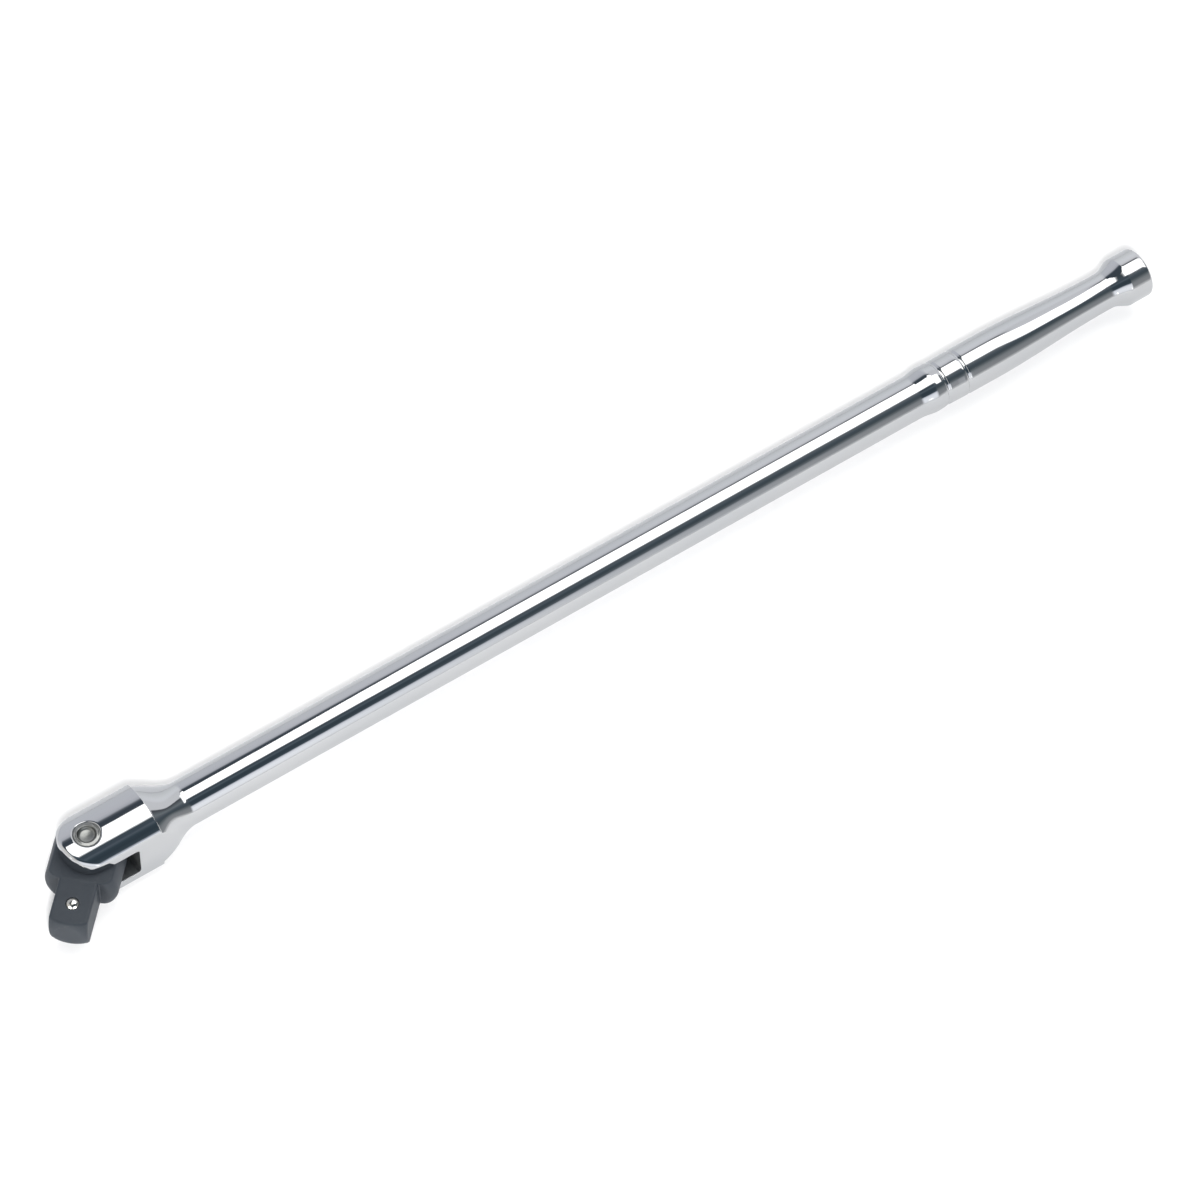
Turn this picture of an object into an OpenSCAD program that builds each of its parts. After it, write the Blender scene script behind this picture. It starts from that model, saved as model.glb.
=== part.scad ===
// Half-inch square drive breaker bar with a hinged drive head.
// The hinge pin stands along Z through the origin, and the bar runs along +X.
// The drive head points to -X when straight, and is drawn bent to one side about Z.

/* [Bar] */
// Hinge pin axis to the free end of the handle
bar_length = 420.3; // [380:1:520]
// Shank diameter where it leaves the clevis
shank_d_head = 15.5; // [14:0.1:16]
// Shank diameter where it meets the collar
shank_d_collar = 15.2; // [14:0.1:16]
// Length of the grip section, from the collar swell to the free end
grip_length = 96.8; // [90:0.1:110]
// Diameter at the top of the collar swell
swell_d = 16.7; // [16:0.1:18]
// Diameter of the grip beside the collar
grip_d = 16.6; // [16:0.1:17.5]
// Diameter of the waist of the grip
waist_d = 13.1; // [11:0.1:15]
// Diameter of the end knob
knob_d = 17.6; // [17:0.1:20]
// Length of the end knob
knob_length = 8.3; // [5:0.1:12]
// Section radius of the two ring grooves
groove_r = 1.2; // [0.8:0.1:1.6]
// Depth of the two ring grooves
groove_depth = 0.35; // [0.1:0.05:0.6]

/* [Clevis] */
// Diameter of the turned clevis head
head_d = 29.2; // [28:0.1:34]
// Width across the two side flats
head_flats = 21.1; // [20:0.1:26]
// Width of the slot for the drive head
slot_w = 13.2; // [13.1:0.1:14]
// Pin axis to the bottom of the slot
slot_depth = 12.7; // [12.5:0.1:14]
// Corner radius at the bottom of the slot
slot_corner = 1.2; // [0.5:0.1:2]
// Radius of the rounded nose of the ears, seen along the pin
nose_r = 12.1; // [11.8:0.1:13]
// Pin axis to the tip of the nose
nose_reach = 9.5; // [9.2:0.05:11]
// Pin axis to the rear shoulder of the clevis
clevis_rear = 21.3; // [20:0.1:24]
// Height of the step at the rear shoulder
rear_step = 1.0; // [0.5:0.1:1.5]
// Length of the flare from the rear shoulder to the shank
flare_length = 14.2; // [12:0.1:20]

/* [Drive head] */
// Size of the drive square across its flats
drive_sq = 12.7; // [12.6:0.01:12.75]
// Pin axis to the end of the drive square
drive_reach = 29.0; // [27:0.1:32]
// Pin axis to the socket shoulder
shoulder = 12.7; // [12.5:0.1:14]
// Thickness of the knuckle
knuckle_t = 12.9; // [12.7:0.05:13]
// Radius of the knuckle, turned about the drive axis and rounded about the pin
knuckle_r = 12; // [11.5:0.1:12.2]
// Radius of the rounded edge of the shoulder
shoulder_r = 3; // [1:0.1:3.5]
// Angle the drive head is bent to one side
bend = 45.5; // [-90:0.5:90]

/* [Hinge pin] */
// Hinge pin diameter
pin_d = 8.74; // [8:0.01:9]
// Clearance on the radius between the pin and the knuckle
pin_clearance = 0.06; // [0.03:0.01:0.09]
// Diameter of the cup in each end of the pin
cup_d = 6.0; // [4:0.1:6.5]
// Depth of the cup
cup_depth = 1.3; // [0.5:0.1:2]

/* [Socket detent] */
// Detent ball diameter
ball_d = 4.76; // [4.5:0.01:5]
// Pin axis to the centre of the ball, along the drive square
ball_reach = 21.1; // [20:0.1:22]
// Height the ball stands out of its face
ball_proud = 1.15; // [0.8:0.05:1.3]

/* [Friction plunger] */
// Plunger diameter
plunger_d = 4.6; // [4:0.1:5]
// Length of the plunger
plunger_length = 8; // [6:0.5:10]
// Depth of the plunger hole below the slot
plunger_hole = 17; // [16:0.5:20]

/* [Hidden] */
$fn = 96;
overlap = 0.01;
past = 20;       // half size of cuts and blanks that run past the clevis and knuckle
rest_gap = 0.02; // gap where a plunger, ball or spring rests on its neighbour

// clevis and flare
head_r = head_d / 2;
rear_chamfer = 0.3;
neck_x = clevis_rear + 0.7;
neck_r = head_r - rear_step;
flare_end = clevis_rear + flare_length;
nose_x = nose_r - nose_reach; // centre of the nose arc

// grip stations
grip_start = bar_length - grip_length;
swell_x = grip_start + 7.0;
groove_x = [grip_start + 10.9, grip_start + 19.4];
groove_base = [8.12, 8.25]; // bar radius beside each groove
groove_side = 1.2;          // groove centre to the profile point beside it
groove_lift = 0.03;         // height of the groove datum over groove_base
band_x = grip_start + 15.2; // between the grooves
taper_x = grip_start + 30.5;
waist_x = bar_length - 15.8;
cone_x = bar_length - 13.6;
cone_length = 2.2;
knob_x = bar_length - knob_length;
knob_chamfer = 0.7;

// points of a half-cosine blend along the bar, from x0, r0 to x1, r1
function blend(x0, r0, x1, r1, steps) = [
    for (i = [0 : steps])
        [x0 + (x1 - x0) * i / steps, r0 + (r1 - r0) * (1 - cos(180 * i / steps)) / 2]
];

// turned shape of the bar: [distance along the bar, radius]
bar_profile = concat(
    // clevis head and rear step
    [
        [-head_r, 0],
        [-head_r, head_r],
        [clevis_rear - rear_chamfer, head_r],
        [clevis_rear, head_r - rear_chamfer],
        [clevis_rear, neck_r]
    ],
    // flare, then the shank up to the collar swell
    blend(neck_x, neck_r, flare_end, shank_d_head / 2, steps = 16),
    blend(grip_start, shank_d_collar / 2, swell_x, swell_d / 2, steps = 8),
    // band that carries the grooves
    [
        [groove_x[0] - groove_side, groove_base[0] + 0.06],
        [groove_x[0] + groove_side, groove_base[0]],
        [band_x, groove_base[0] + 0.05],
        [groove_x[1] + groove_side, groove_base[1]]
    ],
    // taper to the waist, and the cone up to the knob
    blend(taper_x, grip_d / 2, waist_x, waist_d / 2, steps = 14),
    blend(cone_x, waist_d / 2 + 0.12, cone_x + cone_length, waist_d / 2 + 0.75, steps = 3),
    // knob
    [
        [knob_x, knob_d / 2],
        [bar_length - knob_chamfer, knob_d / 2],
        [bar_length, knob_d / 2 - knob_chamfer],
        [bar_length, 0]
    ]
);

// drive square
half_drive = drive_sq / 2;
corner_r = 8.9; // turned radius over the corners of the square
tip_profile = [ // turned limit of the square: [radius, distance from the pin axis]
    [0, 0], [corner_r, 0], [corner_r, drive_reach - 1.9],
    [6.9, drive_reach - 0.4], [6, drive_reach], [0, drive_reach]
];

// cups in the ends of the hinge pin
pin_end_gap = 0.15; // pin ends below the turned clevis surface
cup_floor = head_r - cup_depth - 0.3;
cup_cut = 2; // height of the conical cutter

// centre radius of the wire in both springs
coil_r = 1.75;

// friction plunger and its spring, along the bar axis
plunger_tip = knuckle_r + rest_gap;
plunger_end = plunger_tip + plunger_length;
plunger_bottom = slot_depth + plunger_hole;
plunger_tip_r = 1.5;
plunger_bevel = 0.8;
plunger_wire = 0.7;
hole_lead = 2; // the plunger hole cut starts this far inside the slot

// detent ball and its spring, across the drive square
ball_r = ball_d / 2;
ball_z = half_drive + ball_proud - ball_r;
ball_hole_r = ball_r + 0.05;
ball_floor = -3.2;
mouth_r = 2.13;
mouth_depth = 0.75;
ball_wire = 0.5;
// the top turn of the spring touches the ball below its centre
ball_contact_r = ball_r + ball_wire / 2 + rest_gap;
ball_spring_top = ball_z - sqrt(pow(ball_contact_r, 2) - pow(coil_r, 2)) + ball_wire / 2;

// turns a child drawn along +X from the hinge into the bent position of the drive head
module at_bend() { rotate([0, 0, 180 + bend]) children(); }

// lays a child turned about Z down along X
module along_x() { rotate([0, 90, 0]) children(); }

// round wire coil about Z, from bottom to top, with a closed turn at each end
module coil(wire_d, bottom, top, turns) {
    sides = 8;
    steps = 20; // per turn
    rings = round(turns * steps);
    height = top - bottom - wire_d; // between the first and last wire centres
    closed_rise = wire_d * 1.02;    // rise of one closed turn
    // height of the wire centre after a number of turns
    function rise(turn) =
        turn < 1 ? closed_rise * turn
        : turn > turns - 1 ? height - closed_rise * (turns - turn)
        : closed_rise + (height - 2 * closed_rise) * (turn - 1) / (turns - 2);
    points = [
        for (i = [0 : rings], k = [0 : sides - 1])
            let (
                angle = 360 * i / steps,
                side_angle = 360 * k / sides,
                r = coil_r + wire_d / 2 * cos(side_angle),
                z = bottom + wire_d / 2 + rise(i / steps)
            )
            [r * cos(angle), r * sin(angle), z + wire_d / 2 * sin(side_angle)]
    ];
    // two triangles for each side of the wire between neighbouring rings
    wall = [
        for (i = [0 : rings - 1], k = [0 : sides - 1])
            let (next = (k + 1) % sides, ring = i * sides, ring2 = ring + sides)
            each [
                [ring2 + next, ring + next, ring + k],
                [ring2 + k, ring2 + next, ring + k]
            ]
    ];
    start_cap = [for (k = [0 : sides - 1]) k];
    end_cap = [for (k = [sides - 1 : -1 : 0]) rings * sides + k];
    polyhedron(points = points, faces = concat(wall, [start_cap], [end_cap]), convexity = 10);
}

// bar turned about X, with its two ring grooves
module turned_bar() {
    along_x() difference() {
        rotate_extrude() polygon([for (p = bar_profile) [p[1], p[0]]]);
        for (i = [0, 1])
            translate([0, 0, groove_x[i]])
                rotate_extrude()
                    translate([groove_base[i] + groove_lift + groove_r - groove_depth, 0])
                        circle(r = groove_r, $fn = 48);
    }
}

// side flats and the rounded nose, seen along the pin
module flats_and_nose() {
    translate([0, 0, -past]) linear_extrude(2 * past) union() {
        intersection() {
            translate([nose_x, 0]) circle(r = nose_r, $fn = 180);
            translate([-past, -head_flats / 2]) square([past + nose_x, head_flats]);
        }
        translate([nose_x - overlap, -head_flats / 2]) square([bar_length, head_flats]);
    }
}

// slot between the ears, with rounded inner corners
module slot() {
    translate([-past, -past, -slot_w / 2])
        cube([past + slot_depth - slot_corner, 2 * past, slot_w]);
    translate([-past, -past, -slot_w / 2 + slot_corner])
        cube([past + slot_depth, 2 * past, slot_w - 2 * slot_corner]);
    for (side = [-1, 1])
        translate([slot_depth - slot_corner, past, side * (slot_w / 2 - slot_corner)])
            rotate([90, 0, 0]) cylinder(r = slot_corner, h = 2 * past, $fn = 32);
}

// one-piece forged bar: clevis, flare, shank, collar, grip and knob
module handle_bar() {
    color([0.80, 0.81, 0.83])
    difference() {
        intersection() {
            turned_bar();
            flats_and_nose();
        }
        slot();
        // hinge pin hole through both ears
        translate([0, 0, -past]) cylinder(d = pin_d, h = 2 * past);
        // blind hole for the friction plunger and spring
        translate([slot_depth - hole_lead, 0, 0])
            along_x() cylinder(d = plunger_d + 0.1, h = plunger_hole + hole_lead, $fn = 64);
    }
}

// turned knuckle with a round back, a rounded shoulder and two flats
module knuckle() {
    shoulder_arc = [
        for (a = [0 : 10 : 90])
            [knuckle_r - shoulder_r * (1 - cos(a)), shoulder - shoulder_r * (1 - sin(a))]
    ];
    intersection() {
        translate([0, 0, -knuckle_t / 2]) linear_extrude(knuckle_t) union() {
            circle(r = knuckle_r, $fn = 128);
            translate([0, -knuckle_r]) square([shoulder, 2 * knuckle_r]);
        }
        along_x() rotate_extrude()
            polygon(concat([[0, -past], [knuckle_r, -past]], shoulder_arc, [[0, shoulder]]));
    }
}

// drive square with turned-down corners at its tip
module drive_square() {
    intersection() {
        translate([0, -half_drive, -half_drive]) cube([drive_reach, drive_sq, drive_sq]);
        along_x() rotate_extrude() polygon(tip_profile);
    }
}

// blind pocket for the detent ball and spring, with its mouth closed in round the ball
module ball_pocket() {
    translate([ball_reach, 0, 0]) rotate_extrude() polygon([
        [0, ball_floor], [ball_hole_r, ball_floor], [ball_hole_r, half_drive - mouth_depth],
        [mouth_r, half_drive], [mouth_r, half_drive + 1], [0, half_drive + 1]
    ]);
}

// swinging head: knuckle in the slot and drive square outside
module drive_head() {
    color([0.28, 0.31, 0.34])
    at_bend() difference() {
        union() {
            knuckle();
            drive_square();
        }
        // running hole for the hinge pin
        translate([0, 0, -past]) cylinder(r = pin_d / 2 + pin_clearance, h = 2 * past);
        ball_pocket();
    }
}

// plain pin pressed into both ears, cupped at each end where it is spread
module hinge_pin() {
    color([0.60, 0.60, 0.59])
    difference() {
        intersection() {
            translate([0, 0, -head_r]) cylinder(d = pin_d, h = 2 * head_r);
            // rounds the pin ends to follow the clevis
            along_x() translate([0, 0, -past])
                cylinder(r = head_r - pin_end_gap, h = 2 * past, $fn = 128);
        }
        for (side = [-1, 1])
            translate([0, 0, side * cup_floor]) rotate([side > 0 ? 0 : 180, 0, 0])
                cylinder(d1 = cup_d - 0.6, d2 = cup_d + 0.5, h = cup_cut);
    }
}

// ball standing out of one face of the drive square
module detent_ball() {
    color([0.85, 0.85, 0.83])
    at_bend() translate([ball_reach, 0, ball_z]) sphere(r = ball_r, $fn = 64);
}

// spring under the detent ball
module detent_spring() {
    color([0.55, 0.56, 0.58])
    at_bend() translate([ball_reach, 0, 0])
        coil(ball_wire, bottom = ball_floor + rest_gap, top = ball_spring_top, turns = 7);
}

// flat-ended plunger that rubs on the knuckle
module friction_plunger() {
    color([0.50, 0.51, 0.53])
    along_x() rotate_extrude() polygon([
        [0, plunger_tip], [plunger_tip_r, plunger_tip],
        [plunger_d / 2, plunger_tip + plunger_bevel],
        [plunger_d / 2, plunger_end], [0, plunger_end]
    ]);
}

// spring between the plunger and the bottom of its hole
module friction_spring() {
    color([0.55, 0.56, 0.58])
    along_x() coil(plunger_wire, bottom = plunger_end + rest_gap,
        top = plunger_bottom - rest_gap, turns = 8);
}

handle_bar();
drive_head();
hinge_pin();
detent_ball();
detent_spring();
friction_plunger();
friction_spring();
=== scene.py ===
# Hinged drive handle: a round chromed bar with a slotted clevis, a pivoting square-drive head,
# the riveted hinge pin, a detent ball, a friction plunger and two springs.
# The pin stands on Z through the origin. The bar runs along +X to its grip and knob; the
# drive head points into -X -Y, with the detent ball on its +Z face.
# Shapes are worked out in millimetres; the scene is in metres.
import math
from collections import Counter

import bmesh
import bpy
import numpy as np
from mathutils import Matrix, Vector


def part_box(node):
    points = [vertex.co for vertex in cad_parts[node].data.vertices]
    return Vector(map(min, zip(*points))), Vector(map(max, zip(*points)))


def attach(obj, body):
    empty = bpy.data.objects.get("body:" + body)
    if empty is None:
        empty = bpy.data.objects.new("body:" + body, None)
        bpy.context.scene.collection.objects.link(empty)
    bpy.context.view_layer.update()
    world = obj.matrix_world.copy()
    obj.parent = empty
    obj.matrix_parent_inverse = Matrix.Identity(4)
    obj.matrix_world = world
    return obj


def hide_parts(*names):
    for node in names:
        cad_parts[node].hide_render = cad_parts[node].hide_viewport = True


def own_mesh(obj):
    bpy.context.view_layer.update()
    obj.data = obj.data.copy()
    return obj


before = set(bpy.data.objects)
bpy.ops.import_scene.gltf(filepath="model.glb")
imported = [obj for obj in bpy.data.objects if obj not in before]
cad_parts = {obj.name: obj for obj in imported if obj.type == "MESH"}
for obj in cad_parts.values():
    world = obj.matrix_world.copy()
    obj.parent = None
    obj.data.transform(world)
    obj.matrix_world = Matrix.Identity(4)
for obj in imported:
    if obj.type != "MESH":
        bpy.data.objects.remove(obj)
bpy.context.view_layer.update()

MM = 0.001

# grid spacing of the implicit surfaces
BAR_GRID = 0.25
HEAD_GRID = 0.2
PIN_GRID = 0.14

# ----------------------------------------------------------------------------
# dimensions, in millimetres
# ----------------------------------------------------------------------------
# bar and clevis
bar_low, bar_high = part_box("handle_bar")
BAR_END = bar_high.x * 1000.0
DRUM_R = bar_high.z * 1000.0
FLATS = bar_high.y * 1000.0         # half width across the side flats
NOSE_REACH = -bar_low.x * 1000.0
NOSE_R = 12.1
NOSE_X = NOSE_R - NOSE_REACH
DRUM_END = 21.3
SLOT_HALF = 6.6
SLOT_FLOOR = 12.7
SLOT_CORNER_R = 1.2
BORE_R = 2.35                       # plunger hole in the slot floor
BORE_DEPTH = 17
FLARE_START = DRUM_END - 3.0
FLARE_END = DRUM_END + 14.2
FLARE_R = 14.06
GRIP_START = BAR_END - 96.8
NECK_R = 7.75
NECK_TAPER = 0.15                   # radius lost between flare and grip
NECK_END_R = NECK_R - NECK_TAPER
RING_START = 38.0                   # beyond this the bar is skinned over rings

# grip
GROOVE_R = 1.2
GROOVE_DEPTH = 0.35
GROOVE_STEPS = 14
LIP_RISE = 0.03
KNOB_R = 8.8
KNOB_EDGE_R = 0.8

# hinge pin
PIN_R = 4.37
PIN_END_R = 14.42                   # rounding of the pin's ends, about the bar's axis
CUP_FLOOR = 12.75

# drive head
KNUCKLE_R = 12.0
KNUCKLE_HALF = 6.45                 # half thickness along the pin
SHOULDER = 12.7
SHOULDER_EDGE_R = 3.0
SQUARE_HALF = 6.35
SQUARE_EDGE_R = 0.3
CORNER_R = 8.9                      # the square's corners are turned to this radius
DRIVE_END = 29.0
BEND = math.radians(45.5)
DRIVE_AXIS = np.array([-math.cos(BEND), -math.sin(BEND), 0.0])
CROSS_AXIS = np.array([math.sin(BEND), -math.cos(BEND), 0.0])

# detent ball, standing proud of the square's +Z face
BALL_ALONG = 21.1
BALL_R = 2.38
BALL_PROUD = 1.15
BALL_Z = SQUARE_HALF + BALL_PROUD - BALL_R
BALL_FOOT = DRIVE_AXIS * BALL_ALONG
BALL_AT = Vector((BALL_FOOT + (0, 0, BALL_Z)) * MM)

# springs and plunger
COIL_R = 1.75
PLUNGER_SIDES = 96
WIRE_SIDES = 14
STEPS_PER_TURN = 44
CLOSED_TURNS = 0.75                 # at each end of a spring


# ----------------------------------------------------------------------------
# implicit shapes: negative inside, values close to millimetres near the surface
# ----------------------------------------------------------------------------
def intersect(a, b, radius):
    """intersection with its edge rounded"""
    u = np.maximum(a + radius, 0)
    v = np.maximum(b + radius, 0)
    return np.minimum(np.maximum(a, b), -radius) + np.sqrt(u * u + v * v)


def unite(a, b, radius):
    """union with its inner corner filleted"""
    u = np.maximum(radius - a, 0)
    v = np.maximum(radius - b, 0)
    return np.maximum(np.minimum(a, b), radius) - np.sqrt(u * u + v * v)


def cut(a, b, radius):
    """a with b taken out, the edge rounded"""
    return intersect(a, -b, radius)


def corner(a, b, radius):
    """the same shape as intersect(), kept apart because some faces fall exactly on
    grid planes, where the order of the sums decides the sign"""
    u, v = a + radius, b + radius
    inner = np.minimum(np.maximum(u, v), 0)
    return inner + np.hypot(np.maximum(u, 0), np.maximum(v, 0)) - radius


def ease(a, b, t):
    t = np.clip(t, 0, 1)
    return a + (b - a) * (1 - np.cos(np.pi * t)) / 2


def neck_radius(x):
    shank = NECK_R - NECK_TAPER * np.clip((x - FLARE_END) / (GRIP_START - FLARE_END), 0, 1)
    flare = ease(FLARE_R, NECK_R, (x - FLARE_START) / (FLARE_END - FLARE_START))
    return np.where(x < FLARE_END, flare, shank)


def handle_field(p):
    x, y, z = p[..., 0], p[..., 1], p[..., 2]
    rad = np.sqrt(y * y + z * z)
    drum = intersect(rad - DRUM_R, x - DRUM_END, 0.35)
    dx = 0.01
    slope = (neck_radius(x + dx) - neck_radius(x - dx)) / (2 * dx)
    neck = (rad - neck_radius(x)) / np.sqrt(1 + slope * slope)
    body = unite(drum, neck, 0.25)
    body = intersect(body, np.abs(y) - FLATS, 0.45)
    # rounded nose of the two ears
    nose = np.where(x < NOSE_X, np.sqrt((x - NOSE_X) ** 2 + y * y) - NOSE_R,
                    np.abs(y) - NOSE_R)
    body = intersect(body, nose, 1.55)
    slot = corner(x - SLOT_FLOOR, np.abs(z) - SLOT_HALF, SLOT_CORNER_R)
    body = cut(body, slot, 0.25)
    # pin hole, its outer edges broken more than those in the slot
    body = cut(body, np.hypot(x, y) - PIN_R, np.where(np.abs(z) > 10.0, 0.75, 0.3))
    # blind plunger hole, opening into the slot
    bore = np.maximum(np.hypot(y, z) - BORE_R, x - (SLOT_FLOOR + BORE_DEPTH))
    return cut(body, np.maximum(bore, (SLOT_FLOOR - 2) - x), 0.2)


def head_field(p):
    """drive head in its own frame: along the drive, across it, and z along the pin"""
    along, across, z = p[..., 0], p[..., 1], p[..., 2]
    rad = np.hypot(across, z)
    # knuckle turned about the drive axis, round at the back about the pin, two flats
    turned = corner(rad - KNUCKLE_R, along - SHOULDER, SHOULDER_EDGE_R)
    back = np.where(along < 0, np.hypot(along, across), np.abs(across)) - KNUCKLE_R
    knuckle = intersect(np.maximum(turned, back), np.abs(z) - KNUCKLE_HALF, 0.4)
    square = corner(np.abs(across) - SQUARE_HALF, np.abs(z) - SQUARE_HALF, SQUARE_EDGE_R)
    square = intersect(square, along - DRIVE_END, 0.3)
    square = np.maximum(square, 2.0 - along)
    # turned-down corners, with a steep and then a flat cone at the tip
    steep = (rad - CORNER_R) * 0.60 + (along - (DRIVE_END - 1.9)) * 0.80
    flat = (rad - 6.9) * 0.406 + (along - (DRIVE_END - 0.4)) * 0.914
    tip = np.maximum(rad - CORNER_R, intersect(steep, flat, 0.6))
    square = intersect(square, tip, 0.7)
    body = unite(knuckle, square, 0.45)
    body = cut(body, np.hypot(along, across) - (PIN_R + 0.06), 0.2)
    # ball pocket, its mouth closed in around the ball
    clear = BALL_R + 0.05
    wall = np.interp(z, [-100, 5.6, SQUARE_HALF, 7.5], [clear, clear, 2.13, 2.13])
    pocket = np.maximum(np.hypot(along - BALL_ALONG, across) - wall, -3.2 - z)
    return cut(body, pocket, 0.05)


def pin_field(p):
    x, y, z = p[..., 0], p[..., 1], p[..., 2]
    rho = np.hypot(x, y)
    height = np.abs(z)
    body = intersect(rho - PIN_R, np.hypot(y, z) - PIN_END_R, 0.22)
    # riveting cup at each end: sloped wall and a shallow bowl
    wall = (rho - (2.55 + (height - 12.9) * 0.42)) * 0.92
    floor_z = CUP_FLOOR + 0.055 * rho * rho
    body = cut(body, intersect(wall, floor_z - height, 0.5), 0.3)
    # shallow ring turned into the rim
    ring = np.hypot(rho - 3.72, height - 14.62) - 0.42
    return cut(body, ring, 0.1)


# ----------------------------------------------------------------------------
# meshing of implicit shapes
# ----------------------------------------------------------------------------
CELL_CORNERS = [(i, j, k) for k in (0, 1) for j in (0, 1) for i in (0, 1)]


def gradient(field, co, eps=2e-3):
    slopes = np.empty_like(co)
    for i in range(3):
        shift = np.zeros(3)
        shift[i] = eps
        slopes[:, i] = (field(co + shift) - field(co - shift)) / (2 * eps)
    return slopes


def unit_normals(field, co):
    normals = gradient(field, co)
    return normals / np.maximum(np.linalg.norm(normals, axis=1), 1e-9)[:, None]


def surface_net(field, low, high, spacing):
    """closed quad mesh of field = 0 inside a grid, one vertex per crossed cell"""
    axes = [np.arange(low[i], high[i] + spacing * 0.5, spacing) for i in range(3)]
    nx, ny, nz = map(len, axes)
    values = np.empty((nx, ny, nz), np.float32)
    for i in range(nx):
        layer = np.empty((ny, nz, 3))
        layer[..., 0] = axes[0][i]
        layer[..., 1] = axes[1][:, None]
        layer[..., 2] = axes[2][None, :]
        values[i] = field(layer)
    inside = values < 0
    count = sum(inside[i:nx - 1 + i, j:ny - 1 + j, k:nz - 1 + k].astype(np.int8)
                for i, j, k in CELL_CORNERS)
    cells = np.argwhere((count > 0) & (count < 8))
    index = -np.ones((nx - 1, ny - 1, nz - 1), np.int64)
    index[tuple(cells.T)] = np.arange(len(cells))
    # mean of the crossings on each cell's edges
    total = np.zeros((len(cells), 3))
    hits = np.zeros(len(cells))
    for a in range(8):
        for b in range(a + 1, 8):
            start, end = np.array(CELL_CORNERS[a]), np.array(CELL_CORNERS[b])
            if np.abs(start - end).sum() != 1:
                continue
            value_a = values[tuple((cells + start).T)].astype(float)
            value_b = values[tuple((cells + end).T)].astype(float)
            crossed = (value_a < 0) != (value_b < 0)
            t = np.zeros(len(cells))
            t[crossed] = value_a[crossed] / (value_a[crossed] - value_b[crossed])
            crossing = start + (end - start) * t[:, None]
            total[crossed] += crossing[crossed]
            hits[crossed] += 1
    origin = np.array([axis[0] for axis in axes])
    co = origin + (cells + total / hits[:, None]) * spacing
    # one quad around every grid edge that changes sign
    quads = []
    for d in range(3):
        edges = np.argwhere(np.diff(inside, axis=d))
        u, v = (d + 1) % 3, (d + 2) % 3
        within = ((edges[:, u] > 0) & (edges[:, v] > 0)
                  & (edges[:, u] < inside.shape[u] - 1) & (edges[:, v] < inside.shape[v] - 1))
        edges = edges[within]
        leaving = inside[tuple(edges.T)]
        ring = []
        for du, dv in ((-1, -1), (0, -1), (0, 0), (-1, 0)):
            cell = edges.copy()
            cell[:, u] += du
            cell[:, v] += dv
            ring.append(index[tuple(cell.T)])
        ring = np.stack(ring, 1)
        ring[~leaving] = ring[~leaving][:, ::-1]
        quads.append(ring)
    return co, np.concatenate(quads)


def settle(field, co, steps, limit=0.12):
    """moves points onto the surface, at most limit per step"""
    for _ in range(steps):
        value = field(co)
        slopes = gradient(field, co)
        steep = np.maximum((slopes * slopes).sum(1), 0.05)
        move = -(value / steep)[:, None] * slopes
        length = np.linalg.norm(move, axis=1)
        move *= np.minimum(1, limit / np.maximum(length, 1e-9))[:, None]
        co = co + move
    return co


def relax(field, co, quads, rounds=3):
    """evens out the mesh along the surface, without leaving it"""
    for _ in range(rounds):
        total = np.zeros((len(co), 3))
        count = np.zeros(len(co))
        for a, b in ((0, 1), (1, 2), (2, 3), (3, 0)):
            np.add.at(total, quads[:, a], co[quads[:, b]])
            np.add.at(total, quads[:, b], co[quads[:, a]])
            np.add.at(count, quads[:, a], 1)
            np.add.at(count, quads[:, b], 1)
        move = total / np.maximum(count, 1)[:, None] - co
        normals = unit_normals(field, co)
        move -= (move * normals).sum(1)[:, None] * normals
        co = settle(field, co + 0.5 * move, steps=2)
    return co


def mesh_field(field, low, high, spacing):
    co, quads = surface_net(field, low, high, spacing)
    co = settle(field, co, steps=6)
    return relax(field, co, quads), quads


# ----------------------------------------------------------------------------
# mesh helpers
# ----------------------------------------------------------------------------
def link(name, data):
    ob = bpy.data.objects.new(name, data)
    bpy.context.scene.collection.objects.link(ob)
    return ob


def bmesh_data(name, bm):
    data = bpy.data.meshes.new(name)
    bm.to_mesh(data)
    bm.free()
    return data


def shade_smooth(data):
    for polygon in data.polygons:
        polygon.use_smooth = True


def make_mesh(name, co, faces, normals=None):
    data = bpy.data.meshes.new(name)
    data.from_pydata((np.asarray(co) * MM).tolist(), [], [list(map(int, f)) for f in faces])
    data.validate()
    data.update()
    shade_smooth(data)
    if normals is not None:
        data.normals_split_custom_set_from_vertices([tuple(n) for n in normals])
    return link(name, data)


def bridge(ring, after):
    """quads between two rings of vertex numbers"""
    return zip(ring, np.roll(ring, -1), np.roll(after, -1), after)


def fan(tip, ring):
    """triangles from a ring of vertex numbers to one vertex"""
    return zip([tip] * len(ring), ring, np.roll(ring, -1))


def ring_solid(name, first_tip, rings, last_tip):
    """closed solid skinned over rings of points, each end drawn in to its tip"""
    count = len(rings[0])
    index = 1 + np.arange(len(rings) * count).reshape(-1, count)
    co = np.concatenate([[first_tip], *rings, [last_tip]])
    faces = [*fan(0, index[0][::-1]), *fan(len(co) - 1, index[-1])]
    for ring, after in zip(index[:-1], index[1:]):
        faces.extend(bridge(ring, after))
    ob = make_mesh(name, co, faces)
    bm = bmesh.new()
    bm.from_mesh(ob.data)
    bmesh.ops.recalc_face_normals(bm, faces=bm.faces)
    bm.to_mesh(ob.data)
    bm.free()
    return ob


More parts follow.
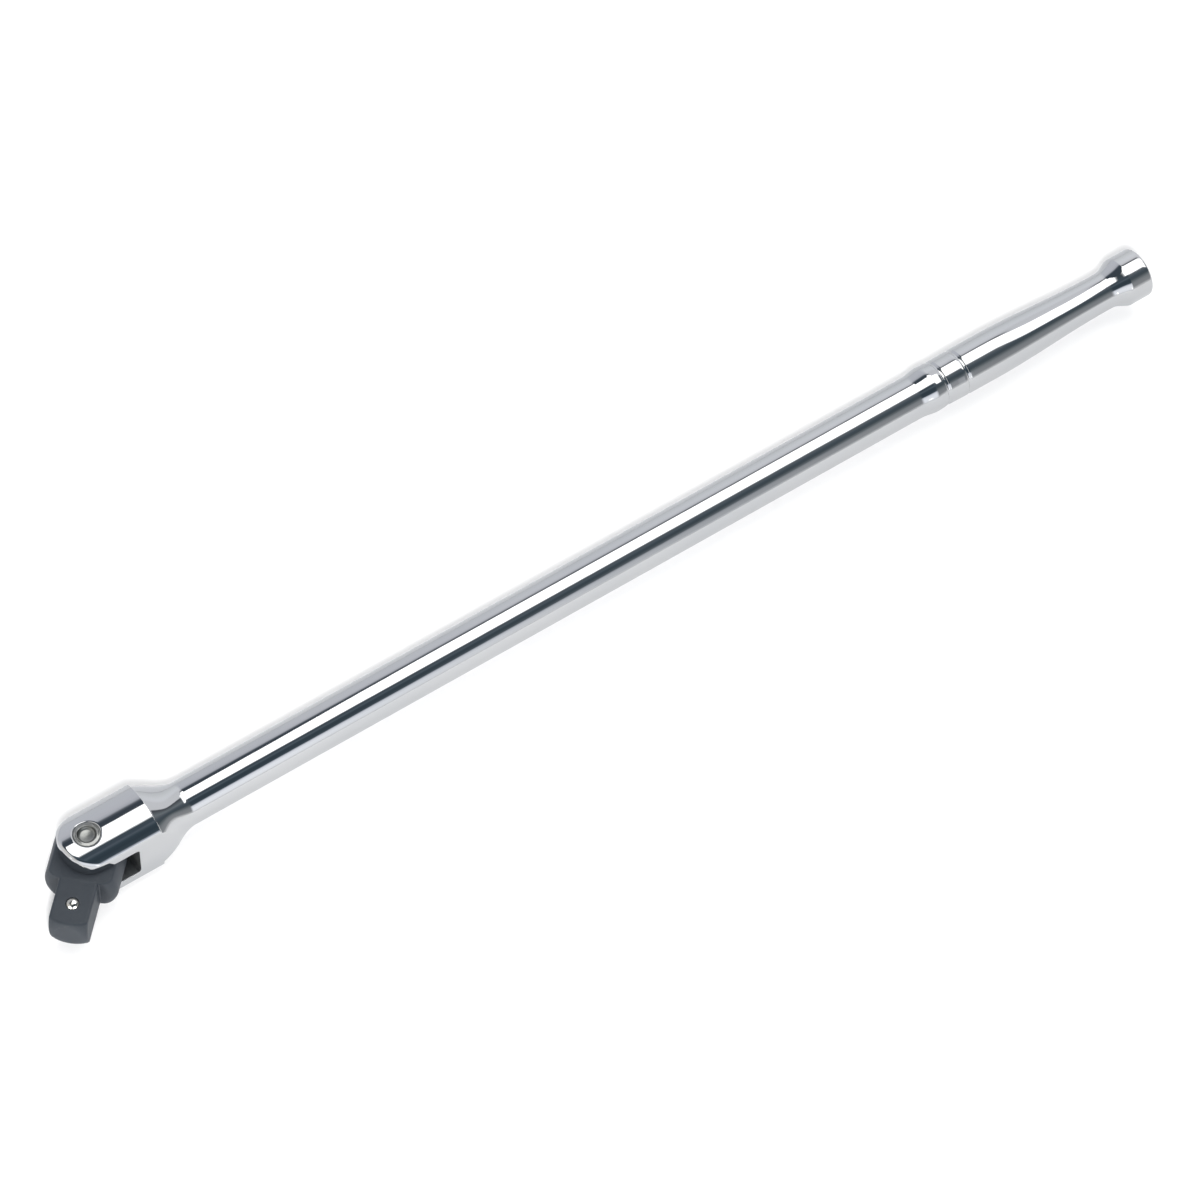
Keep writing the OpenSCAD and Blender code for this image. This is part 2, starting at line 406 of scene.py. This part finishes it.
# ----------------------------------------------------------------------------
# handle bar: implicit clevis and flare, then rings along the shank and grip
# ----------------------------------------------------------------------------
# waist to knob: distance from the bar's end, radius
KNOB_FLARE = [
    (15.8, 6.55), (14.6, 6.58), (13.6, 6.72), (12.7, 6.98), (11.9, 7.3), (11.2, 7.62),
    (10.5, 7.95), (9.8, 8.28), (9.1, 8.58), (8.75, 8.70), (8.45, 8.77), (8.1, KNOB_R)]
END_FACE_RADII = (7.6, 6.8, 5.6, 4.2, 2.8, 1.4, 0.5)


def clevis_mesh():
    """mesh of the bar up to RING_START, and its open rim as a loop of vertex numbers"""
    low = (-12.0, -FLATS - 1.13 * BAR_GRID - 0.4, -DRUM_R - 1.37 * BAR_GRID - 0.4)
    high = (RING_START + 2 * BAR_GRID, FLATS + 0.8, DRUM_R + 0.8)
    co, quads = mesh_field(handle_field, low, high, BAR_GRID)
    quads = quads[co[quads][:, :, 0].max(1) < RING_START]
    used, numbers = np.unique(quads, return_inverse=True)
    co, quads = co[used], numbers.reshape(quads.shape)
    edges = np.concatenate([quads[:, [i, (i + 1) % 4]] for i in range(4)])
    count = Counter(map(tuple, np.sort(edges, 1)))
    rim = [tuple(e) for e in edges if count[tuple(sorted(e))] == 1]
    following = {b: a for a, b in rim}
    loop = [rim[0][0]]
    while following[loop[-1]] != loop[0]:
        loop.append(following[loop[-1]])
    return co, quads, np.array(loop)


def bar_stations():
    """(x, radius) from the shank to near the middle of the end face"""
    stations = []

    def straight(x0, r0, x1, r1, count):
        for i in range(count):
            u = i / count
            stations.append((x0 + (x1 - x0) * u, r0 + (r1 - r0) * u))

    def swell(x0, r0, x1, r1, count):
        for i in range(count):
            u = i / count
            stations.append((x0 + (x1 - x0) * u, float(ease(r0, r1, u))))

    def groove(x_mid, radius):
        """round-bottomed ring groove"""
        rise = GROOVE_R - GROOVE_DEPTH + LIP_RISE
        half = math.sqrt(GROOVE_R * GROOVE_R - rise * rise)
        for i in range(GROOVE_STEPS + 1):
            x = -half + 2 * half * i / GROOVE_STEPS
            depth = math.sqrt(GROOVE_R * GROOVE_R - x * x)
            stations.append((x_mid + x, radius + rise - depth))

    grip, end = GRIP_START, BAR_END
    shank_x = RING_START + 0.4
    straight(shank_x, float(neck_radius(np.array(shank_x))), grip, NECK_END_R, 40)
    swell(grip, NECK_END_R, grip + 7.0, 8.35, 14)
    straight(grip + 7.0, 8.35, grip + 9.6, 8.19, 5)
    groove(grip + 10.9, 8.13)
    straight(grip + 12.1, 8.13, grip + 15.2, 8.17, 6)
    straight(grip + 15.2, 8.17, grip + 18.2, 8.24, 6)
    groove(grip + 19.4, 8.25)
    straight(grip + 20.6, 8.27, grip + 30.5, 8.3, 10)
    waist, waist_r = KNOB_FLARE[0]
    swell(grip + 30.5, 8.3, end - waist, waist_r, 40)
    stations.extend((end - back, radius) for back, radius in KNOB_FLARE)
    straight(end - 7.8, KNOB_R, end - 0.9, KNOB_R, 8)
    for i in range(7):
        angle = math.pi / 2 * i / 6
        stations.append((end - KNOB_EDGE_R + KNOB_EDGE_R * math.sin(angle),
                         KNOB_R - KNOB_EDGE_R + KNOB_EDGE_R * math.cos(angle)))
    stations.extend((end, radius) for radius in END_FACE_RADII)
    return stations


def build_handle():
    co, quads, ring = clevis_mesh()
    angle = np.arctan2(co[ring, 2], co[ring, 1])
    cos, sin = np.cos(angle), np.sin(angle)
    points = [co]
    normals = [unit_normals(handle_field, co)]
    faces = [tuple(q) for q in quads]
    x, radius = np.array(bar_stations()).T
    dx, dr = np.gradient(x), np.gradient(radius)
    length = np.hypot(dx, dr)
    normal_x, normal_r = -dr / length, dx / length
    total = len(co)
    for i in range(len(x)):
        points.append(np.stack([np.full(len(ring), x[i]), radius[i] * cos, radius[i] * sin], 1))
        normals.append(np.stack([np.full(len(ring), normal_x[i]),
                                 normal_r[i] * cos, normal_r[i] * sin], 1))
        after = total + np.arange(len(ring))
        faces.extend(bridge(ring, after))
        total += len(ring)
        ring = after
    points.append(np.array([[BAR_END, 0, 0]]))
    normals.append(np.array([[1.0, 0, 0]]))
    faces.extend(fan(total, ring))
    return make_mesh("Handle_bar", np.concatenate(points), faces, np.concatenate(normals))


# ----------------------------------------------------------------------------
# drive head, pin, ball, plunger and springs
# ----------------------------------------------------------------------------
def build_drive_head():
    low = (-12.9, -KNUCKLE_R - 0.37 * HEAD_GRID - 0.4, -KNUCKLE_HALF - 0.41 * HEAD_GRID - 0.4)
    high = (DRIVE_END + 1.0, 12.8, 7.3)
    co, quads = mesh_field(head_field, low, high, HEAD_GRID)
    to_world = np.stack([DRIVE_AXIS, CROSS_AXIS, np.array([0, 0, 1.0])])
    normals = unit_normals(head_field, co)
    return make_mesh("Drive_head", co @ to_world, quads, normals @ to_world)


def build_pin():
    low = (-PIN_R - 0.5 - 0.37 * PIN_GRID, -PIN_R - 0.5 - 0.21 * PIN_GRID,
           -14.9 - 0.43 * PIN_GRID)
    high = (PIN_R + 0.5, PIN_R + 0.5, 15.0)
    co, quads = mesh_field(pin_field, low, high, PIN_GRID)
    return make_mesh("Hinge_pin", co, quads, unit_normals(pin_field, co))


def build_ball():
    bm = bmesh.new()
    bmesh.ops.create_icosphere(bm, subdivisions=5, radius=BALL_R * MM)
    bmesh.ops.translate(bm, verts=bm.verts, vec=BALL_AT)
    data = bmesh_data("Detent_ball", bm)
    shade_smooth(data)
    return link("Detent_ball", data)


# plunger nose: distance from its -X end, radius
PLUNGER_NOSE = [(0, 0.7), (0.02, 1.3), (0.12, 1.62), (0.55, 2.06), (0.78, 2.22), (0.95, 2.28),
                (1.15, 2.3)]
# plunger tail: distance from its +X end, radius
PLUNGER_TAIL = [(0.3, 2.3), (0.1, 2.24), (0.02, 2.1), (0, 1.9)]


def build_plunger():
    """turned about X"""
    start, end = (v.x * 1000 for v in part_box("friction_plunger"))
    profile = [(start + d, r) for d, r in PLUNGER_NOSE] + [(end - d, r) for d, r in PLUNGER_TAIL]
    angle = np.linspace(0, 2 * np.pi, PLUNGER_SIDES, endpoint=False)
    rings = [np.stack([np.full(PLUNGER_SIDES, x), r * np.cos(angle), r * np.sin(angle)], 1)
             for x, r in profile]
    return ring_solid("Friction_plunger", (start, 0, 0), rings, (end, 0, 0))


def coil(name, wire, start, end, turns, origin, axis, side):
    """compression spring with closed end turns; wire is its diameter"""
    axis, side = np.array(axis, float), np.array(side, float)
    third = np.cross(axis, side)
    turn = np.linspace(0, turns, int(turns * STEPS_PER_TURN) + 1)
    span = (end - start) - wire
    # little rise in the end turns, even pitch between
    end_rise = 0.9 * wire * CLOSED_TURNS
    rise = np.interp(turn, [0, CLOSED_TURNS, turns - CLOSED_TURNS, turns],
                     [0, end_rise, span - end_rise, span])
    angle = (2 * np.pi * turn)[:, None]
    outward = np.cos(angle) * side + np.sin(angle) * third
    path = np.array(origin) + axis * (start + wire / 2 + rise)[:, None] + COIL_R * outward
    tangent = np.gradient(path, axis=0)
    tangent /= np.linalg.norm(tangent, axis=1)[:, None]
    upward = np.cross(tangent, outward)
    upward /= np.linalg.norm(upward, axis=1)[:, None]
    around = np.linspace(0, 2 * np.pi, WIRE_SIDES, endpoint=False)[:, None]
    rings = [path[i] + wire / 2 * (np.cos(around) * outward[i] + np.sin(around) * upward[i])
             for i in range(len(path))]
    return ring_solid(name, path[0], rings, path[-1])


handle = build_handle()
drive = build_drive_head()
pin = build_pin()
ball = build_ball()
plunger = build_plunger()
detent_low, detent_high = (v.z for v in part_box("detent_spring"))
friction_low, friction_high = (v.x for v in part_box("friction_spring"))
detent_spring = coil(
    "Detent_spring", wire=0.5, start=detent_low * 1000, end=detent_high * 1000, turns=7,
    origin=BALL_FOOT, axis=(0, 0, 1), side=(1, 0, 0))
friction_spring = coil(
    "Friction_spring", wire=0.7, start=friction_low * 1000, end=friction_high * 1000, turns=8,
    origin=(0, 0, 0), axis=(1, 0, 0), side=(0, 1, 0))

# object, the body it rides on, the piece it replaces, its material slot
for ob, body, node, slot in (
        (handle, "bar", "handle_bar", "chromed_steel"),
        (drive, "head", "drive_head", "phosphated_steel"),
        (pin, "bar", "hinge_pin", "pin_steel"),
        (ball, "ball", "detent_ball", "ball_steel"),
        (plunger, "plunger", "friction_plunger", "pin_steel"),
        (detent_spring, "head", "detent_spring", "spring_steel"),
        (friction_spring, "bar", "friction_spring", "spring_steel")):
    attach(ob, body)
    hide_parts(node)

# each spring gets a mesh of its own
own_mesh(detent_spring)
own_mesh(friction_spring)


# ----------------------------------------------------------------------------
# node helpers
# ----------------------------------------------------------------------------
class Value:
    """one value in a node tree, with arithmetic"""

    def __init__(self, nodes, socket):
        self.nodes, self.socket = nodes, socket

    def op(self, kind, *others):
        node = self.nodes.new("ShaderNodeMath")
        node.operation = kind
        for socket, value in zip(node.inputs, (self, *others)):
            self.nodes.feed(socket, value)
        return Value(self.nodes, node.outputs[0])

    def __add__(self, other):
        return self.op("ADD", other)

    __radd__ = __add__

    def __sub__(self, other):
        return self.op("SUBTRACT", other)

    def __rsub__(self, other):
        return (self * -1.0) + other

    def __mul__(self, other):
        return self.op("MULTIPLY", other)

    __rmul__ = __mul__

    def __truediv__(self, other):
        return self.op("DIVIDE", other)

    def abs(self):
        return self.op("ABSOLUTE")

    def maximum(self, other):
        return self.op("MAXIMUM", other)

    def step(self, start, end=None, width=None):
        """0 below start, 1 above end (or start + width), smooth between"""
        if width is None:
            width = end - start
        t = ((self - start) / width).maximum(0.0).op("MINIMUM", 1.0)
        return t * t * (3.0 - 2.0 * t)


class Nodes:
    """a node tree with the coordinates its textures use"""

    def __init__(self, tree, coordinates="Object"):
        self.tree = tree
        self.point = self.new("ShaderNodeTexCoord").outputs[coordinates]

    def new(self, kind, **inputs):
        node = self.tree.nodes.new(kind)
        for name, value in inputs.items():
            self.feed(node.inputs[name], value)
        return node

    def feed(self, socket, value):
        """links a value or socket to an input, or sets a number, vector or colour"""
        if isinstance(value, Value):
            value = value.socket
        if isinstance(value, bpy.types.NodeSocket):
            self.tree.links.new(value, socket)
        elif isinstance(value, tuple) and socket.type == "RGBA":
            socket.default_value = (*value, 1.0)
        else:
            socket.default_value = value

    def axes(self):
        node = self.new("ShaderNodeSeparateXYZ", Vector=self.point)
        return [Value(self, out) for out in node.outputs]

    def noise(self, scale, detail, rough):
        """three scales stretch the noise differently along x, y and z"""
        point = self.point
        if isinstance(scale, tuple):
            point = self.new("ShaderNodeMapping", Scale=scale, Vector=point).outputs[0]
            scale = 1.0
        node = self.new("ShaderNodeTexNoise", Scale=scale, Detail=detail, Roughness=rough,
                        Vector=point)
        return Value(self, node.outputs[0])

    def mix(self, factor, first, second):
        node = self.new("ShaderNodeMix")
        node.data_type = "RGBA"
        colours = [i for i in node.inputs if i.type == "RGBA"]
        self.feed(node.inputs[0], factor)
        self.feed(colours[0], first)
        self.feed(colours[1], second)
        return [o for o in node.outputs if o.type == "RGBA"][0]

    def ramp(self, factor, stops):
        node = self.new("ShaderNodeValToRGB")
        elements = node.color_ramp.elements
        while len(elements) > 1:
            elements.remove(elements[-1])
        elements[0].position = stops[0][0]
        elements[0].color = (*stops[0][1], 1)
        for position, colour in stops[1:]:
            elements.new(position).color = (*colour, 1)
        self.feed(node.inputs[0], factor)
        return node.outputs[0]

    def mottle(self, factor, low, high):
        """two colours, spread over the middle range of a noise"""
        return self.ramp(factor, [(0.3, low), (0.7, high)])

    def bump(self, height, distance, strength=1.0, under=None):
        """relief of a height in metres, laid over another normal if given"""
        node = self.new("ShaderNodeBump", Strength=strength, Distance=distance, Height=height)
        if under is not None:
            self.feed(node.inputs["Normal"], under)
        return node.outputs[0]

    def surface(self, settings):
        shader = self.tree.nodes["Principled BSDF"]
        for name, value in settings.items():
            self.feed(shader.inputs[name], value)


def new_material(name):
    material = bpy.data.materials.new(name)
    material.use_nodes = True
    return material, Nodes(material.node_tree)


# ----------------------------------------------------------------------------
# materials
# ----------------------------------------------------------------------------
def chrome_material():
    """bright plate; bare dark steel inside the slot and the pin hole"""
    material, nodes = new_material("Chrome_plate")
    x, y, z = nodes.axes()
    # slow waviness, and finer marks drawn out along the bar
    waves = nodes.noise(scale=(60, 260, 260), detail=2.0, rough=0.5)
    marks = nodes.noise(scale=(320, 1300, 1300), detail=2.0, rough=0.55)
    wiping = nodes.noise(scale=(120, 2600, 2600), detail=2.0, rough=0.6)
    normal = nodes.bump(waves, distance=0.000012)
    normal = nodes.bump(marks, distance=0.0000025, under=normal)
    normal = nodes.bump(wiping, distance=0.0000006, under=normal)
    smear = nodes.noise(scale=(35, 90, 90), detail=3.0, rough=0.6)
    rough = 0.038 + smear.step(start=0.45, end=0.8) * 0.03
    # unplated regions, in metres
    in_slot = ((1.0 - z.abs().step(start=0.00655, end=0.00675))
               * (1.0 - x.step(start=0.01275, end=0.0130))
               * (1.0 - y.abs().step(start=0.0101, end=0.0104)))
    rho = (x * x + y * y).op("SQRT")
    dark = in_slot.maximum(1.0 - rho.step(start=0.00440, end=0.00452))
    grime = nodes.noise(scale=900.0, detail=4.0, rough=0.6)
    steel = nodes.mottle(grime, (0.085, 0.090, 0.092), (0.135, 0.140, 0.142))
    tint = nodes.noise(scale=(20, 60, 60), detail=2.0, rough=0.5)
    chrome = nodes.mottle(tint, (0.615, 0.625, 0.64), (0.655, 0.66, 0.67))
    nodes.surface({
        "Base Color": nodes.mix(dark, chrome, steel),
        "Metallic": 1.0 - dark * 0.9,
        "Roughness": rough + dark * 0.6,
        "Normal": normal})
    return material


def phosphate_material():
    """black phosphate: matt, finely crystalline, worn on its edges"""
    material, nodes = new_material("Black_phosphate")
    cloud = nodes.noise(scale=160.0, detail=4.0, rough=0.55)
    grain = nodes.noise(scale=5200.0, detail=3.0, rough=0.65)
    colour = nodes.ramp(cloud, [(0.25, (0.036, 0.046, 0.060)), (0.5, (0.044, 0.056, 0.072)),
                                (0.8, (0.052, 0.064, 0.080))])
    speck = grain.step(start=0.62, end=0.8)
    colour = nodes.mix(speck * 0.35, colour, (0.085, 0.092, 0.10))
    edges = Value(nodes, nodes.new("ShaderNodeNewGeometry").outputs["Pointiness"])
    patches = nodes.noise(scale=420.0, detail=3.0, rough=0.6)
    worn = edges.step(start=0.515, end=0.60) * patches.step(start=0.35, end=0.65)
    nodes.surface({
        "Base Color": nodes.mix(worn * 0.22, colour, (0.16, 0.17, 0.175)),
        "Metallic": worn * 0.4,
        "Roughness": 0.47 + cloud * 0.08 - worn * 0.12,
        "Specular IOR Level": 0.55,
        "Normal": nodes.bump(grain, distance=0.000012)})
    return material


def pin_material():
    """turned and riveted steel, a little different inside the end cups"""
    material, nodes = new_material("Riveted_pin_steel")
    x, y, _ = nodes.axes()
    rho = (x * x + y * y).op("SQRT")
    turning = nodes.noise(scale=(900, 900, 900), detail=4.0, rough=0.6)
    hammer = nodes.noise(scale=1100.0, detail=2.0, rough=0.5)
    colour = nodes.mottle(hammer, (0.27, 0.275, 0.265), (0.36, 0.365, 0.355))
    cup = 1.0 - rho.step(start=0.0027, end=0.0033)
    dents = nodes.bump(hammer, distance=0.000012, strength=0.6)
    nodes.surface({
        "Base Color": nodes.mix(cup * 0.25, colour, (0.30, 0.31, 0.29)),
        "Metallic": 1.0,
        "Roughness": 0.25 + cup * 0.04 + turning * 0.08,
        "Normal": nodes.bump(turning, distance=0.000003, strength=0.5, under=dents)})
    return material


def plunger_material():
    material, nodes = new_material("Oiled_plunger_steel")
    turning = nodes.noise(scale=(6000, 300, 300), detail=2.0, rough=0.5)
    grime = nodes.noise(scale=700.0, detail=4.0, rough=0.6)
    nodes.surface({
        "Base Color": nodes.mottle(grime, (0.018, 0.019, 0.019), (0.035, 0.036, 0.035)),
        "Metallic": 0.1,
        "Roughness": 0.72 + grime * 0.15,
        "Normal": nodes.bump(turning, distance=0.00001, strength=0.8)})
    return material


def ball_material():
    material, nodes = new_material("Polished_ball_steel")
    haze = nodes.noise(scale=900.0, detail=3.0, rough=0.5)
    grain = nodes.noise(scale=5000.0, detail=2.0, rough=0.5)
    nodes.surface({
        "Base Color": nodes.mottle(haze, (0.50, 0.49, 0.46), (0.58, 0.57, 0.54)),
        "Metallic": 1.0,
        "Roughness": 0.11 + haze * 0.05,
        "Normal": nodes.bump(grain, distance=0.0000008, strength=0.6)})
    return material


def spring_material():
    material, nodes = new_material("Drawn_spring_wire")
    grain = nodes.noise(scale=(2600, 2600, 2600), detail=3.0, rough=0.6)
    oil = nodes.noise(scale=500.0, detail=3.0, rough=0.5)
    nodes.surface({
        "Base Color": nodes.mottle(oil, (0.20, 0.19, 0.175), (0.34, 0.33, 0.31)),
        "Metallic": 1.0,
        "Roughness": 0.30 + oil * 0.15,
        "Normal": nodes.bump(grain, distance=0.000006, strength=0.8)})
    return material


def floor_material():
    """near-white paper, shown with painted shade to glossy reflections, the more so towards +Y
    """
    material, nodes = new_material("Floor_paper")
    _, y, _ = nodes.axes()
    reflected = Value(nodes, nodes.new("ShaderNodeLightPath").outputs["Is Glossy Ray"])
    paper = nodes.noise(scale=3.0, detail=2.0, rough=0.5)
    # painted shade: glossy rays see the paper at 0.75 at the front, falling to 0.62 towards +Y
    painted_shade_in_reflections = nodes.ramp(y.step(start=-0.05, end=0.06),
                          [(0.0, (0.75, 0.75, 0.75)), (1.0, (0.62, 0.625, 0.64))])
    direct = nodes.mottle(paper, (0.995, 0.988, 0.980), (1.0, 0.992, 0.985))
    nodes.surface({
        "Base Color": nodes.mix(reflected, direct, painted_shade_in_reflections),
        "Roughness": 0.95,
        "Specular IOR Level": 0.1})
    return material


spring_steel = spring_material()
for ob, material in (
        (handle, chrome_material()), (drive, phosphate_material()), (pin, pin_material()),
        (ball, ball_material()), (plunger, plunger_material()),
        (detent_spring, spring_steel), (friction_spring, spring_steel)):
    ob.data.materials.append(material)


# ----------------------------------------------------------------------------
# floor
# ----------------------------------------------------------------------------
def build_floor():
    bm = bmesh.new()
    bmesh.ops.create_grid(bm, x_segments=8, y_segments=8, size=3.0)
    ob = link("Floor", bmesh_data("Floor", bm))
    ob.location = (0.2, 0, -DRUM_R * MM - 0.0002)  # just below the drum
    ob.data.materials.append(floor_material())
    return ob


floor = build_floor()

# ----------------------------------------------------------------------------
# world: a soft studio tent
# ----------------------------------------------------------------------------
# Colours around the X axis: degrees from straight up, positive towards +Y; colour.
# The first set is seen towards the drive end, the second towards the grip.
DRIVE_SIDE = [
    (-180, (0.8, 0.8, 0.8)), (-90, (0.85, 0.86, 0.88)), (-82, (1.12, 1.14, 1.19)),
    (-72, (1.16, 1.19, 1.25)), (-62, (1.0, 1.03, 1.10)), (-58.5, (0.60, 0.64, 0.72)),
    (-55.5, (0.060, 0.085, 0.105)), (-45, (0.042, 0.062, 0.080)), (-37, (0.050, 0.074, 0.095)),
    (-31, (0.11, 0.14, 0.17)), (-27, (0.070, 0.094, 0.12)), (-18, (0.075, 0.10, 0.12)),
    (0, (0.06, 0.075, 0.09)), (33, (0.06, 0.075, 0.095)), (38, (0.14, 0.155, 0.18)),
    (43, (0.55, 0.57, 0.62)), (51, (0.66, 0.67, 0.72)), (66, (0.68, 0.70, 0.75)),
    (88, (0.68, 0.70, 0.74)), (120, (0.7, 0.7, 0.7)), (180, (0.8, 0.8, 0.8))]
GRIP_SIDE = [
    (-180, (0.8, 0.8, 0.8)), (-91, (0.80, 0.80, 0.80)), (-86, (0.62, 0.63, 0.64)),
    (-80, (0.33, 0.345, 0.36)), (-68, (0.30, 0.315, 0.33)), (-60, (0.25, 0.27, 0.285)),
    (-52, (0.15, 0.175, 0.19)), (-45, (0.082, 0.104, 0.118)), (-37, (0.078, 0.100, 0.120)),
    (-30, (0.105, 0.13, 0.155)), (-24, (0.15, 0.17, 0.19)), (-18, (0.20, 0.23, 0.25)),
    (0, (0.10, 0.11, 0.125)), (33, (0.10, 0.11, 0.125)), (37, (0.70, 0.71, 0.74)),
    (44, (0.86, 0.87, 0.91)), (56, (0.88, 0.90, 0.94)), (66, (0.86, 0.88, 0.91)),
    (88, (0.74, 0.76, 0.78)), (120, (0.7, 0.7, 0.7)), (180, (0.8, 0.8, 0.8))]
WALL = (0.86, 0.85, 0.83)
GAP_FILL = (0.80, 0.81, 0.84)
SOFTBOX = (2.45, 2.45, 2.43)
BARE_LAMP = (3.2, 3.2, 3.1)
BARE_LAMP_AIMS = ((-0.923, -0.321, 0.14), (0.037, -0.971, 0.17))


def build_world():
    world = bpy.data.worlds.new("Studio")
    bpy.context.scene.world = world
    world.use_nodes = True
    nodes = Nodes(world.node_tree, "Generated")
    x, y, z = nodes.axes()
    angle = y.op("ARCTAN2", z) * (180 / math.pi)
    around = (angle + 180.0) / 360.0
    drive_side, grip_side = (
        nodes.ramp(around, [((degrees + 180.0) / 360.0, colour) for degrees, colour in stops])
        for stops in (DRIVE_SIDE, GRIP_SIDE))
    sky = nodes.mix(x.step(start=0.235, end=0.40), drive_side, grip_side)
    # pale wall beyond the drive end
    sky = nodes.mix(1.0 - x.step(start=-0.80, end=-0.45), sky, WALL)
    # towards the grip end the dark gap beside the softbox closes
    fill = (x.step(start=0.425, end=0.465) * angle.step(start=4.0, end=9.0)
            * (1.0 - angle.step(start=40.0, end=52.0)))
    sky = nodes.mix(fill, sky, GAP_FILL)
    # overhead softbox: its +Y edge draws in over the drive end, and it stops short of +X
    edge = x.step(start=0.24, end=0.29) * 8.0 + x.step(start=-0.6, end=0.19) * 21.0 - 2.0
    lean = x.step(start=0.41, end=0.50) * -11.0
    softbox = (angle.step(start=lean - 20.0, width=7.0)
               * (1.0 - angle.step(start=edge + lean, width=4.0))
               * (1.0 - x.step(start=0.53, end=0.62)) * x.step(start=-0.40, end=-0.20))
    sky = nodes.mix(softbox, sky, SOFTBOX)
    # two small bare lamps, seen in the tight curves
    for aim_x, aim_y, aim_z in BARE_LAMP_AIMS:
        near = (x * aim_x + y * aim_y + z * aim_z).step(
            start=math.cos(math.radians(11.5)), end=math.cos(math.radians(8)))
        sky = nodes.mix(near, sky, BARE_LAMP)
    background = world.node_tree.nodes["Background"]
    nodes.feed(background.inputs["Color"], sky)
    nodes.feed(background.inputs["Strength"], 1.0)


build_world()

# ----------------------------------------------------------------------------
# lamps
# ----------------------------------------------------------------------------
LAMP_SIZE = 0.26


def receivers(name, ob):
    collection = bpy.data.collections.new(name)
    collection.objects.link(ob)
    return collection


def disk_lamp(name, energy, location, aim, lit):
    """round lamp shining against aim, on the objects of one collection only"""
    data = bpy.data.lights.new(name, "AREA")
    data.shape = "DISK"
    data.size = LAMP_SIZE
    data.energy = energy
    ob = link(name, data)
    ob.location = location
    ob.rotation_mode = "QUATERNION"
    ob.rotation_quaternion = aim.to_track_quat("Z", "Y")
    ob.visible_camera = False
    ob.light_linking.receiver_collection = lit
    return ob


# lamp for the paper alone, from beside the camera and a little lower, so that the soft
# shadow only shows as a narrow rim beyond the far side of the bar
PAPER_AIM = Vector((-0.318, -0.509, 0.800))
paper_lamp = disk_lamp(
    "Paper_lamp", energy=29.0, location=Vector((0.15, 0.0, 0.0)) + PAPER_AIM * 2.0,
    aim=PAPER_AIM, lit=receivers("Lit_by_paper_lamp", floor))
paper_lamp.visible_glossy = False

# three round lamps for the detent ball alone, two of them in line with the bare lamps
ball_only = receivers("Lit_by_ball_lamps", ball)
for i, aim in enumerate(((0.608, 0.131, 0.78), *BARE_LAMP_AIMS)):
    disk_lamp("Ball_lamp_%d" % i, energy=1.3,
              location=BALL_AT + Vector(aim).normalized() * 0.3, aim=Vector(aim), lit=ball_only)

# ----------------------------------------------------------------------------
# camera: three-quarter view from above the drive end, long lens
# ----------------------------------------------------------------------------
CAMERA_RIGHT = (0.8273757, -0.5610348, 0.0262570)
CAMERA_UP = (0.4628168, 0.7075245, 0.5340502)
CAMERA_BACK = (-0.3181982, -0.4297080, 0.8450449)
CAMERA_AT = (-0.3525136, -0.7422565, 1.4414867)

camera_data = bpy.data.cameras.new("Camera")
camera = link("Camera", camera_data)
bpy.context.scene.camera = camera
camera_data.sensor_width = 36
camera_data.lens = 155.4347
camera_data.clip_start = 0.01
camera_data.clip_end = 20
camera.matrix_world = Matrix(
    [*zip(CAMERA_RIGHT, CAMERA_UP, CAMERA_BACK, CAMERA_AT), (0, 0, 0, 1)])
bpy.context.scene.view_settings.view_transform = "Standard"
